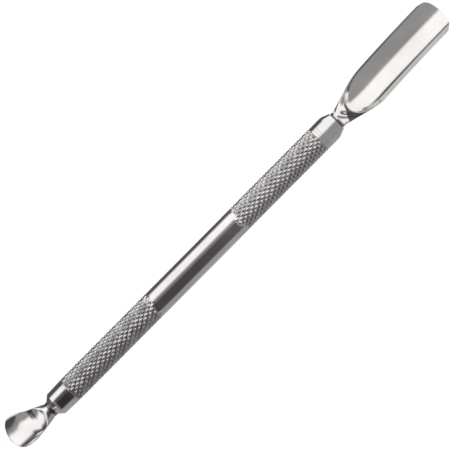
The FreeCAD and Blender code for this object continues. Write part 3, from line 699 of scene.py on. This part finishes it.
def steel(name, base=(0.62, 0.61, 0.60), rough=(0.08, 0.15), lines=None, line_bump=0.02, grain=0.012, knurl=False, rings=False, painted_shade_and_reflections=False):
    mat = bpy.data.materials.new(name)
    mat.use_nodes = True
    t = mat.node_tree
    t.nodes.clear()
    n = Nodes(t)
    out = n.new("ShaderNodeOutputMaterial")
    bsdf = n.new("ShaderNodeBsdfPrincipled")
    t.links.new(bsdf.outputs[0], out.inputs[0])
    bsdf.inputs["Metallic"].default_value = 1.0
    coord = n.new("ShaderNodeTexCoord").outputs["Object"]
    # slow clouding of the polish, and a finer smear
    cloud = n.noise(coord, 160.0, 3.0, 0.55)
    smear = n.noise(n.stretch(coord, (1, 3, 3)), 900.0, 4.0, 0.6)
    # fine polishing lines, along the piece or round it
    fine = n.noise(n.stretch(coord, lines or (0.06, 1.0, 1.0)), 9000.0, 2.0, 0.5)
    if rings:
        sep = n.new("ShaderNodeSeparateXYZ")
        t.links.new(coord, sep.inputs[0])
        comb = n.new("ShaderNodeCombineXYZ")
        t.links.new(sep.outputs["X"], comb.inputs[0])
        comb.inputs[1].default_value = 0.37
        around = n.noise(comb.outputs[0], 14000.0, 3.0, 0.6)
        fine = n.math("ADD", n.math("MULTIPLY", around, 0.75), n.math("MULTIPLY", fine, 0.25))
    col_a = tuple(c * 0.94 for c in base) + (1.0,)
    col_b = tuple(min(c * 1.05, 1.0) for c in base) + (1.0,)
    colour = n.mix_rgb(n.ramp(cloud, 0.3, 0.7), col_a, col_b)
    colour = n.mix_rgb(n.ramp(smear, 0.62, 0.82, 0.0, 0.22), colour, (base[0] * 0.78, base[1] * 0.77, base[2] * 0.76, 1.0))
    r = n.math("ADD", n.ramp(cloud, 0.25, 0.75, rough[0], rough[1], smooth=False), n.ramp(fine, 0.35, 0.75, -0.015, 0.035, smooth=False))
    if knurl:
        sep2 = n.new("ShaderNodeSeparateXYZ")
        t.links.new(coord, sep2.inputs[0])
        radius = n.math("SQRT", n.math("ADD", n.math("POWER", sep2.outputs["Y"], 2.0), n.math("POWER", sep2.outputs["Z"], 2.0)))
        # painted shade in the knurl: the floors of the grooves are painted dark and made rougher, while the crests
        # keep the plain steel
        deep = n.ramp(radius, 0.00284, 0.00300, 1.0, 0.0)
        in_zone = n.ramp(n.math("ABSOLUTE", sep2.outputs["X"]), 0.0132, 0.0140, 0.0, 1.0)
        deep = n.math("MULTIPLY", deep, in_zone)
        groove_painted_shade = n.math("MULTIPLY", deep, n.ramp(smear, 0.25, 0.75, 0.35, 1.0))
        # less of this painted shade towards the big blade's end, so that end of the knurl reads lighter
        groove_painted_shade = n.math("MULTIPLY", groove_painted_shade, n.ramp(sep2.outputs["X"], -0.015, 0.025, 0.82, 0.62))
        colour = n.mix_rgb(groove_painted_shade, colour, (0.10, 0.095, 0.092, 1.0))
        r = n.math("ADD", r, n.math("MULTIPLY", deep, 0.12))
    if painted_shade_and_reflections:
        # painted dark reflection: a dark, rougher patch in the hollow of the big blade's web, up to the bowl's lip
        sep3 = n.new("ShaderNodeSeparateXYZ")
        t.links.new(coord, sep3.inputs[0])
        px, py, pz = (n.math("MULTIPLY", sep3.outputs[k], 1000.0) for k in ("X", "Y", "Z"))
        ex = n.math("POWER", n.math("DIVIDE", n.math("SUBTRACT", px, 54.09), 7.40), 2.0)
        ey = n.math("POWER", n.math("DIVIDE", py, 4.72), 2.0)
        lip = n.ramp(n.math("ADD", ex, ey), 1.01, 1.05)
        start = n.math("SUBTRACT", px, n.math("ADD", 45.80, n.math("MULTIPLY", py, 0.42)))
        scale = n.math("MULTIPLY", lip, n.ramp(start, -0.15, 0.35))
        scale = n.math("MULTIPLY", scale, n.ramp(pz, -0.22, 0.02))
        scale = n.math("MULTIPLY", scale, n.ramp(py, 0.9, 1.7, 1.0, 0.0))
        scale = n.math("MULTIPLY", scale, n.ramp(px, 51.5, 53.0, 1.0, 0.0))
        # painted shade: dark rings round each neck where it meets its collar, and a painted dark reflection round the
        # edge of the spoon's tip on its far side
        ring_a = n.ramp(n.math("ABSOLUTE", n.math("SUBTRACT", px, 43.12)), 0.14, 0.30, 0.80, 0.0)
        ring_b = n.ramp(n.math("ABSOLUTE", n.math("ADD", px, 44.55)), 0.20, 0.45, 0.75, 0.0)
        tx = n.math("POWER", n.math("DIVIDE", n.math("ADD", px, 52.3), 2.9), 2.0)
        ty = n.math("POWER", n.math("DIVIDE", py, 4.13), 2.0)
        edge = n.math("MULTIPLY", n.ramp(n.math("ADD", tx, ty), 0.885, 0.945), n.ramp(px, -52.6, -51.0, 0.92, 0.0))
        edge = n.math("MULTIPLY", edge, n.ramp(py, -1.6, 0.4))
        # and a painted dark reflection along the near side of the spoon's hollow
        near = n.math("MULTIPLY", n.ramp(py, -2.98, -2.72, 0.97, 0.0), n.ramp(py, -3.66, -3.44))
        near = n.math("MULTIPLY", near, n.ramp(n.math("ABSOLUTE", n.math("ADD", px, 51.9)), 1.3, 2.3, 1.0, 0.0))
        near = n.math("MULTIPLY", near, n.ramp(pz, 2.2, 2.7))
        edge = n.math("MAXIMUM", edge, near)
        # scale gathers every painted mark above, painted shade and painted dark reflections, into one dark, slightly
        # rougher colour
        scale = n.math("MAXIMUM", n.math("MAXIMUM", scale, edge), n.math("MAXIMUM", ring_a, ring_b))
        colour = n.mix_rgb(n.math("MULTIPLY", scale, n.ramp(smear, 0.2, 0.8, 0.97, 0.88)), colour, (0.040, 0.028, 0.033, 1.0))
        r = n.math("ADD", r, n.math("MULTIPLY", scale, 0.10))
    t.links.new(colour, bsdf.inputs["Base Color"])
    t.links.new(r, bsdf.inputs["Roughness"])
    bump = n.new("ShaderNodeBump")
    bump.inputs["Strength"].default_value = 1.0
    bump.inputs["Distance"].default_value = 0.000001
    height = n.math("ADD", n.math("MULTIPLY", fine, line_bump * 10), n.math("MULTIPLY", smear, grain * 10))
    t.links.new(height, bump.inputs["Height"])
    t.links.new(bump.outputs[0], bsdf.inputs["Normal"])
    return mat


mats = {
    "handle_steel": steel("handle_steel_and_painted_groove_shade", base=(0.63, 0.615, 0.61), rough=(0.10, 0.16), rings=True, line_bump=0.10, grain=0.10, knurl=True),
    "collar_steel": steel("collar_steel_finish", base=(0.64, 0.63, 0.625), rough=(0.07, 0.12), rings=True, line_bump=0.08, grain=0.06),
    "blade_steel": steel("blade_steel_and_painted_shade_and_reflections", base=(0.64, 0.63, 0.62), rough=(0.08, 0.14), lines=(0.10, 1.0, 1.0), line_bump=0.08, grain=0.08, painted_shade_and_reflections=True),
}
slots = {"handle_tube": "handle_steel", "pusher_end_collar": "collar_steel", "spoon_end_collar": "collar_steel", "pusher_blade": "blade_steel", "spoon_blade": "blade_steel"}
for ob, slot in ((handle, "handle_steel"), (pusher_collar, "collar_steel"), (spoon_collar, "collar_steel"), (pusher, "blade_steel"), (spoon, "blade_steel")):
    ob.data.materials.clear()
    ob.data.materials.append(mats[slot])
for node, slot in slots.items():
    cad = frame["nodes"].get(node) if isinstance(frame["nodes"], dict) else None
    if isinstance(cad, bpy.types.Object):
        if not cad.material_slots:
            cad.data.materials.append(mats[slot])
        for ms in cad.material_slots:
            ms.material = mats[slot]

# ------------------------------------------------------------------ camera
PHI, TAU = math.radians(25.0), math.radians(3.4)
DIST = 900.0
to_cam = Vector((math.sin(TAU), -math.sin(PHI) * math.cos(TAU), math.cos(PHI) * math.cos(TAU)))
e_u = Vector((math.cos(TAU), math.sin(TAU) * math.sin(PHI), -math.sin(TAU) * math.cos(PHI)))
e_v = Vector((0.0, math.cos(PHI), math.sin(PHI)))
right = 0.70402 * e_u - 0.71018 * e_v
up = 0.71018 * e_u + 0.70402 * e_v
cam_data = bpy.data.cameras.new("view_camera")
cam = bpy.data.objects.new("view_camera", cam_data)
bpy.context.scene.collection.objects.link(cam)
rot = Matrix((right, up, to_cam)).transposed().to_4x4()
place = (Vector((10.3, 0, 0)) + 1.31 * e_v + DIST * to_cam) * MM
cam.matrix_world = Matrix.Translation(place) @ rot
cam_data.sensor_fit = "HORIZONTAL"
cam_data.sensor_width = 36.0
cam_data.lens = 4.65 * DIST / 451.0 * 36.0
cam_data.clip_start = 0.01
cam_data.clip_end = 10.0
bpy.context.scene.camera = cam

# ---------------------------------------------------- floor and light tent
FLOOR_Z = -3.06


def plane_mesh(name, half, z):
    me = bpy.data.meshes.new(name)
    me.from_pydata([(-half, -half, z), (half, -half, z), (half, half, z), (-half, half, z)], [], [(0, 1, 2, 3)])
    return me


floor = linked("studio_floor", plane_mesh("studio_floor", 0.9, FLOOR_Z * MM))
fm = bpy.data.materials.new("studio_floor_paper")
fm.use_nodes = True
fm.node_tree.nodes.clear()
n = Nodes(fm.node_tree)
out = n.new("ShaderNodeOutputMaterial")
lp = n.new("ShaderNodeLightPath")
seen = n.new("ShaderNodeEmission")
seen.inputs[0].default_value = (1.0, 1.0, 1.0, 1.0)
seen.inputs[1].default_value = 1.0
# what reflections see of the floor: a dim emission with painted shade, in place of the even white that the camera
# sees
mirror = n.new("ShaderNodeEmission")
pos = n.new("ShaderNodeNewGeometry").outputs["Position"]
sep = n.new("ShaderNodeSeparateXYZ")
fm.node_tree.links.new(pos, sep.inputs[0])
# painted shade: the paper's far part is darker on the left, under the tent's shaded end
shade = n.ramp(sep.outputs["X"], 0.005, 0.030, 0.13, 0.36)
close = n.ramp(sep.outputs["Y"], -0.040, -0.010)
near = n.math("ADD", n.math("MULTIPLY", close, 0.46), n.math("MULTIPLY", n.math("SUBTRACT", 1.0, close), shade))
# painted shade: darker still on the +Y side of the tool
side = n.ramp(sep.outputs["Y"], 0.0, 0.006, 1.0, 0.30)
fm.node_tree.links.new(n.math("MULTIPLY", near, side), mirror.inputs[1])
mirror.inputs[0].default_value = (1.0, 0.985, 0.975, 1.0)
ms = n.new("ShaderNodeMixShader")
fm.node_tree.links.new(lp.outputs["Is Camera Ray"], ms.inputs[0])
fm.node_tree.links.new(mirror.outputs[0], ms.inputs[1])
fm.node_tree.links.new(seen.outputs[0], ms.inputs[2])
fm.node_tree.links.new(ms.outputs[0], out.inputs[0])
floor.data.materials.append(fm)


def tent_mesh(radius, half, n_round=96, n_long=24):
    verts, faces = [], []
    for i in range(n_long + 1):
        x = -half + 2 * half * i / n_long
        for k in range(n_round):
            a = 2 * math.pi * k / n_round
            verts.append((x, radius * math.cos(a), radius * math.sin(a)))
    for i in range(n_long):
        for k in range(n_round):
            k2 = (k + 1) % n_round
            faces.append((i * n_round + k, i * n_round + k2, (i + 1) * n_round + k2, (i + 1) * n_round + k))
    faces.append(tuple(range(n_round)))
    faces.append(tuple(range(n_long * n_round, (n_long + 1) * n_round)))
    me = bpy.data.meshes.new("light_tent")
    me.from_pydata(verts, [], faces)
    return me


tent = linked("light_tent", tent_mesh(0.15, 0.60))
tent.visible_camera = False
tm = bpy.data.materials.new("light_tent_cloth")
tm.use_nodes = True
tm.node_tree.nodes.clear()
n = Nodes(tm.node_tree)
L = tm.node_tree.links
out = n.new("ShaderNodeOutputMaterial")
em = n.new("ShaderNodeEmission")
L.new(em.outputs[0], out.inputs[0])
sep = n.new("ShaderNodeSeparateXYZ")
L.new(n.new("ShaderNodeNewGeometry").outputs["Position"], sep.inputs[0])
X = n.math("MULTIPLY", sep.outputs["X"], 1000.0)
a = n.math("ADD", n.math("MULTIPLY", sep.outputs["Y"], -math.sin(PHI)), n.math("MULTIPLY", sep.outputs["Z"], math.cos(PHI)))
b = n.math("ADD", n.math("MULTIPLY", sep.outputs["Y"], math.cos(PHI)), n.math("MULTIPLY", sep.outputs["Z"], math.sin(PHI)))
psi = n.math("MULTIPLY", n.math("ARCTAN2", b, a), 180.0 / math.pi)
# lower and upper edge of the long softbox, which stands closer at its right end
low_edge = n.math("ADD", n.ramp(X, -60.0, -15.0, 38.0, 31.0), n.ramp(X, 14.0, 34.0, 0.0, -22.0))
up_edge = n.math("ADD", n.ramp(X, -60.0, -15.0, 78.0, 92.0), n.ramp(X, 15.0, 34.0, 0.0, -4.0))
rise = n.ramp(n.math("SUBTRACT", psi, low_edge), -13.0, 11.0)
fall = n.ramp(n.math("SUBTRACT", psi, up_edge), -8.0, 18.0, 1.0, 0.0)
box = n.math("MULTIPLY", n.math("MULTIPLY", rise, fall), n.ramp(X, -330.0, -230.0))
over = n.math("ADD", n.ramp(X, -60.0, -25.0, 0.045, 0.10), n.ramp(X, 4.0, 13.0, 0.0, 0.32))
over = n.math("ADD", over, n.math("MULTIPLY", n.ramp(X, -96.0, -82.0, 0.20, 0.0), n.ramp(X, -330.0, -230.0)))
shoulder = n.math("MULTIPLY", n.ramp(psi, -4.0, 14.0), n.math("MULTIPLY", n.ramp(X, -55.0, -20.0, 0.09, 0.20), n.ramp(X, 4.0, 13.0, 1.0, 0.0)))
below_box = n.math("ADD", over, shoulder)
level = n.math("ADD", n.math("MULTIPLY", n.math("SUBTRACT", 1.0, n.ramp(psi, 60.0, 100.0)), below_box), n.ramp(psi, 60.0, 100.0, 0.0, 0.12))
value = n.math("ADD", n.math("MULTIPLY", box, 1.47), n.math("MULTIPLY", n.math("SUBTRACT", 1.0, box), level))
warm = n.mix_rgb(n.ramp(value, 0.10, 0.26), (1.0, 0.88, 0.94, 1.0), (1.0, 1.0, 1.0, 1.0))
L.new(warm, em.inputs[0])
L.new(value, em.inputs[1])
tent.data.materials.append(tm)



def card(name, x0, x1, centre, tilt, radius, bands, a0=-120.0, a1=150.0, lean=None):
    """A small curved light card round one end of the tool, seen only by reflections.
    bands are (angle from the viewer in degrees, softness, brightness above that angle)."""
    verts, faces = [], []
    m, r_ = 60, 8
    ct, st = math.cos(math.radians(tilt)), math.sin(math.radians(tilt))
    for i in range(r_ + 1):
        x = x0 + (x1 - x0) * i / r_
        for k in range(m + 1):
            g = math.radians(a0 + (a1 - a0) * k / m)
            y = radius * (-math.sin(PHI) * math.cos(g) + math.cos(PHI) * math.sin(g))
            z = radius * (math.cos(PHI) * math.cos(g) + math.sin(PHI) * math.sin(g))
            # x runs along the card's own axis, which leans up by tilt
            verts.append(((centre[0] + (x * ct - z * st)) * MM, (centre[1] + y) * MM, max(centre[2] + (x * st + z * ct), -2.9) * MM))
    for i in range(r_):
        for k in range(m):
            q = i * (m + 1) + k
            faces.append((q, q + 1, q + m + 2, q + m + 1))
    me = bpy.data.meshes.new(name)
    me.from_pydata(verts, [], faces)
    ob = linked(name, me)
    ob.visible_camera = False
    mt = bpy.data.materials.new(name + "_paper")
    mt.use_nodes = True
    mt.node_tree.nodes.clear()
    n = Nodes(mt.node_tree)
    out = n.new("ShaderNodeOutputMaterial")
    em = n.new("ShaderNodeEmission")
    sep = n.new("ShaderNodeSeparateXYZ")
    geo = n.new("ShaderNodeNewGeometry")
    mt.node_tree.links.new(geo.outputs["Position"], sep.inputs[0])
    # lit on its inner side only
    mx = n.new("ShaderNodeMixShader")
    mt.node_tree.links.new(geo.outputs["Backfacing"], mx.inputs[0])
    mt.node_tree.links.new(em.outputs[0], mx.inputs[1])
    mt.node_tree.links.new(n.new("ShaderNodeBsdfTransparent").outputs[0], mx.inputs[2])
    mt.node_tree.links.new(mx.outputs[0], out.inputs[0])
    dx = n.math("SUBTRACT", sep.outputs["X"], centre[0] * MM)
    dy = n.math("SUBTRACT", sep.outputs["Y"], centre[1] * MM)
    dz = n.math("SUBTRACT", sep.outputs["Z"], centre[2] * MM)
    zz = n.math("ADD", n.math("MULTIPLY", dx, -st), n.math("MULTIPLY", dz, ct))
    a = n.math("ADD", n.math("MULTIPLY", dy, -math.sin(PHI)), n.math("MULTIPLY", zz, math.cos(PHI)))
    b = n.math("ADD", n.math("MULTIPLY", dy, math.cos(PHI)), n.math("MULTIPLY", zz, math.sin(PHI)))
    psi = n.math("MULTIPLY", n.math("ARCTAN2", b, a), 180.0 / math.pi)
    value = bands[0][2]
    for edge, soft, level in bands[1:]:
        f = n.ramp(psi, edge - soft, edge + soft)
        if isinstance(value, float):
            value = n.ramp(psi, edge - soft, edge + soft, value, level)
        else:
            value = n.math("ADD", n.math("MULTIPLY", value, n.math("SUBTRACT", 1.0, f)), n.math("MULTIPLY", f, level))
    mt.node_tree.links.new(value, em.inputs[1])
    em.inputs[0].default_value = (1.0, 0.995, 0.985, 1.0)
    me.materials.append(mt)
    return ob


# angles are from the viewer's direction, towards the far side of the tool
BLADE_BANDS = [(-180.0, 1.0, 0.80), (-24.0, 8.0, 0.42), (44.0, 4.5, 1.47), (101.0, 4.0, 0.10), (116.0, 4.0, 0.28)]
card("blade_card", -18.2, 26.0, (62.0, 0.0, 3.0), 0.0, 26.0, BLADE_BANDS)


def flag(name, x, r0, r1, front, back):
    """A ring round the neck, across the tool, seen only by reflections. Its front,
    towards the blade, and its back, towards the collar, carry their own bands."""
    verts, faces = [], []
    m = 96
    for k in range(m):
        g = 2 * math.pi * k / m
        for r in (r0, r1):
            verts.append((x * MM, r * math.cos(g) * MM, max(r * math.sin(g), -2.9) * MM))
    for k in range(m):
        a, b = 2 * k, 2 * ((k + 1) % m)
        faces.append((a, a + 1, b + 1, b))
    me = bpy.data.meshes.new(name)
    me.from_pydata(verts, [], faces)
    ob = linked(name, me)
    ob.visible_camera = False
    mt = bpy.data.materials.new(name + "_paper")
    mt.use_nodes = True
    mt.node_tree.nodes.clear()
    n = Nodes(mt.node_tree)
    out = n.new("ShaderNodeOutputMaterial")
    em = n.new("ShaderNodeEmission")
    mt.node_tree.links.new(em.outputs[0], out.inputs[0])
    sep = n.new("ShaderNodeSeparateXYZ")
    geo = n.new("ShaderNodeNewGeometry")
    mt.node_tree.links.new(geo.outputs["Position"], sep.inputs[0])
    a = n.math("ADD", n.math("MULTIPLY", sep.outputs["Y"], -math.sin(PHI)), n.math("MULTIPLY", sep.outputs["Z"], math.cos(PHI)))
    b = n.math("ADD", n.math("MULTIPLY", sep.outputs["Y"], math.cos(PHI)), n.math("MULTIPLY", sep.outputs["Z"], math.sin(PHI)))
    psi = n.math("MULTIPLY", n.math("ARCTAN2", b, a), 180.0 / math.pi)
    sides = []
    for bands in (front, back):
        value = bands[0][2]
        for edge, soft, level in bands[1:]:
            f = n.ramp(psi, edge - soft, edge + soft)
            if isinstance(value, float):
                value = n.ramp(psi, edge - soft, edge + soft, value, level)
            else:
                value = n.math("ADD", n.math("MULTIPLY", value, n.math("SUBTRACT", 1.0, f)), n.math("MULTIPLY", f, level))
        sides.append(value)
    bf = geo.outputs["Backfacing"]
    value = n.math("ADD", n.math("MULTIPLY", sides[0], n.math("SUBTRACT", 1.0, bf)), n.math("MULTIPLY", sides[1], bf))
    mt.node_tree.links.new(value, em.inputs[1])
    em.inputs[0].default_value = (1.0, 0.995, 0.985, 1.0)
    me.materials.append(mt)
    return ob


COLLAR_BANDS = [(-180.0, 1.0, 0.42), (9.0, 10.0, 1.47), (95.0, 10.0, 0.12)]
flag("neck_flag_inner", 43.6, 2.3, 8.0, [(-180.0, 1.0, 0.50), (-70.0, 15.0, 1.40), (120.0, 20.0, 0.30)], COLLAR_BANDS)
REAR_BANDS = [(-180.0, 1.0, 0.80), (-24.0, 8.0, 0.42), (76.0, 14.0, 1.30), (101.0, 4.0, 0.10)]
flag("neck_flag_outer", 43.6, 8.0, 26.0, REAR_BANDS, COLLAR_BANDS)

world = bpy.data.worlds.new("studio_world")
bpy.context.scene.world = world
world.use_nodes = True
world.node_tree.nodes["Background"].inputs[0].default_value = (1.0, 1.0, 1.0, 1.0)
world.node_tree.nodes["Background"].inputs[1].default_value = 1.0
bpy.context.scene.view_settings.view_transform = "Standard"

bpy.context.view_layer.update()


def plain(box):
    return [[float(c) for c in corner] for corner in box]
